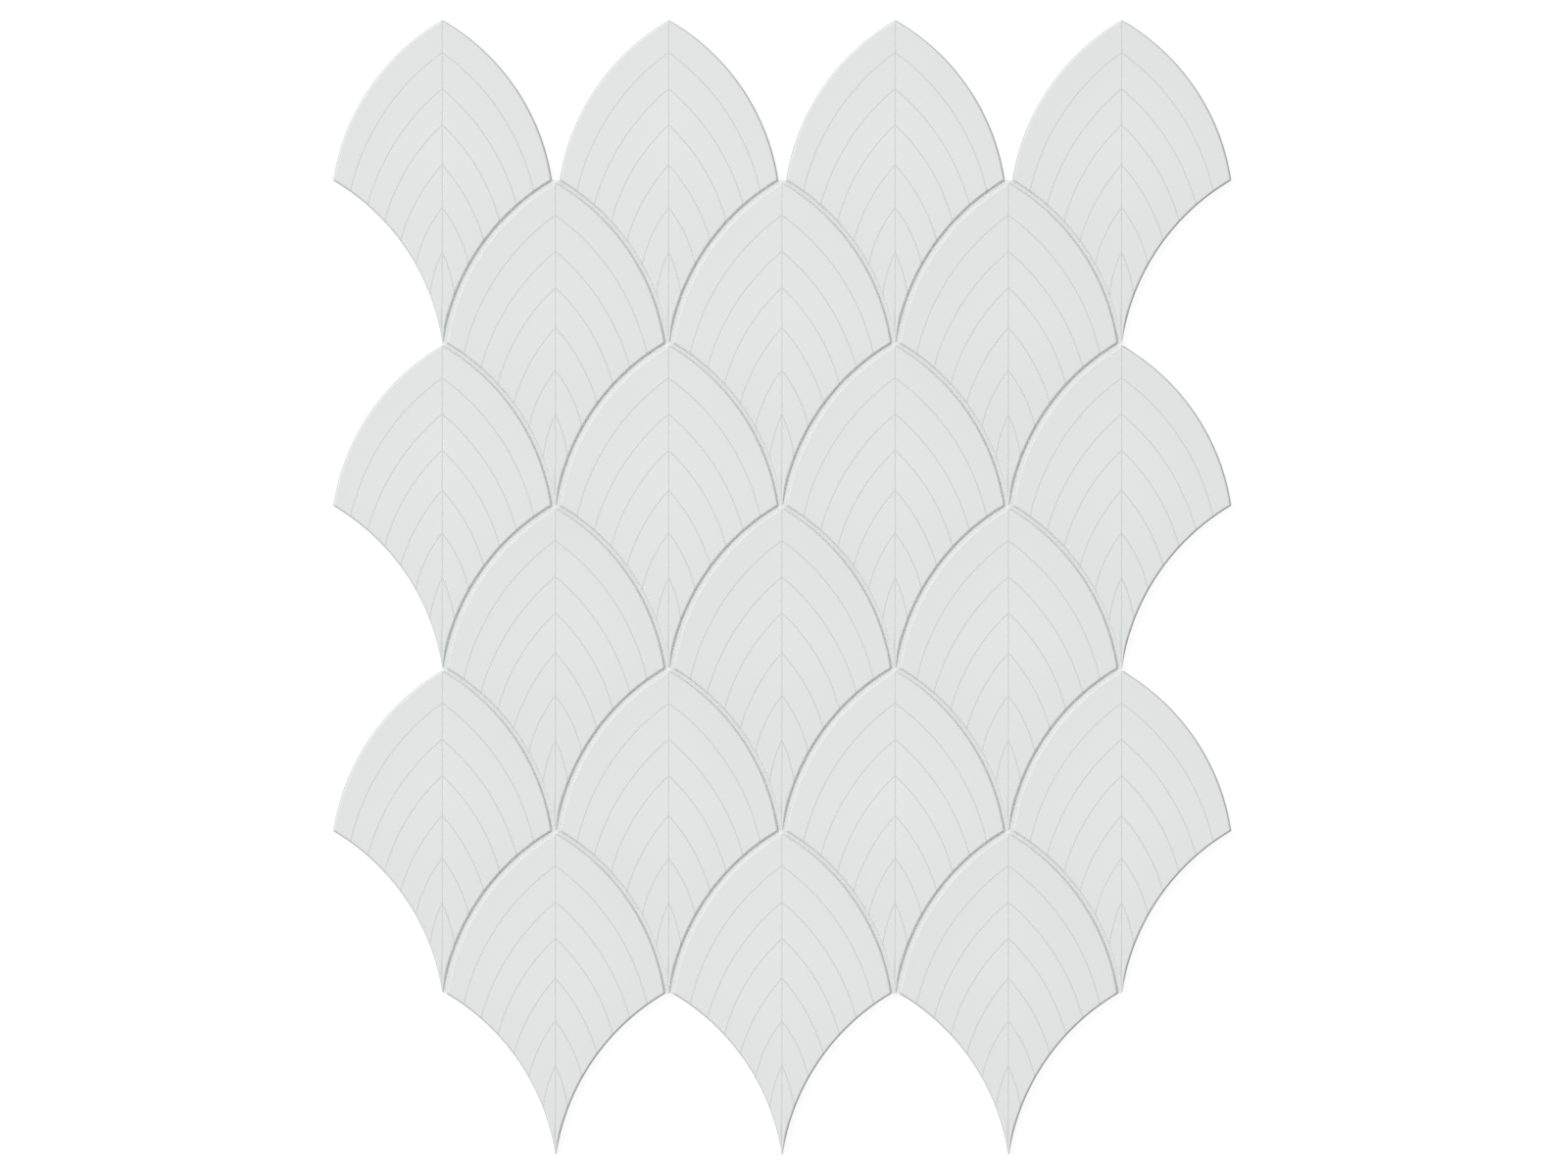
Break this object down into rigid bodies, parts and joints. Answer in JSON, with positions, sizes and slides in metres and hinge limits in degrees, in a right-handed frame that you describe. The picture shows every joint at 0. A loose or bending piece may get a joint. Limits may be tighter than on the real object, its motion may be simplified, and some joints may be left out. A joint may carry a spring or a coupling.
{
  "type": "fish scale tile mosaic sheet",
  "caption": "Mosaic sheet of pointed fish scale tiles with engraved leaf veins, nested in offset rows and held together by light joint filling, for facing a wall or floor.",
  "frame": {"origin": "centre of the sheet's outline, on the backs of the tiles", "axes": "+Z out of the glazed faces, +Y towards the tile tips, +X across the rows"},
  "size_m": [0.2456, 0.3104, 0.006],
  "materials": {
    "glazed_porcelain": "white satin glaze over a pressed porcelain body",
    "joint_resin": "matt white joint resin"
  },
  "bodies": {
    "root": {"tile_row1_1": "glazed_porcelain", "tile_row1_2": "glazed_porcelain", "tile_row1_3": "glazed_porcelain", "tile_row1_4": "glazed_porcelain", "tile_row2_1": "glazed_porcelain", "tile_row2_2": "glazed_porcelain", "tile_row2_3": "glazed_porcelain", "tile_row3_1": "glazed_porcelain", "tile_row3_2": "glazed_porcelain", "tile_row3_3": "glazed_porcelain", "tile_row3_4": "glazed_porcelain", "tile_row4_1": "glazed_porcelain", "tile_row4_2": "glazed_porcelain", "tile_row4_3": "glazed_porcelain", "tile_row5_1": "glazed_porcelain", "tile_row5_2": "glazed_porcelain", "tile_row5_3": "glazed_porcelain", "tile_row5_4": "glazed_porcelain", "tile_row6_1": "glazed_porcelain", "tile_row6_2": "glazed_porcelain", "tile_row6_3": "glazed_porcelain", "joint_filling": "joint_resin"}
  },
  "joints": []
}
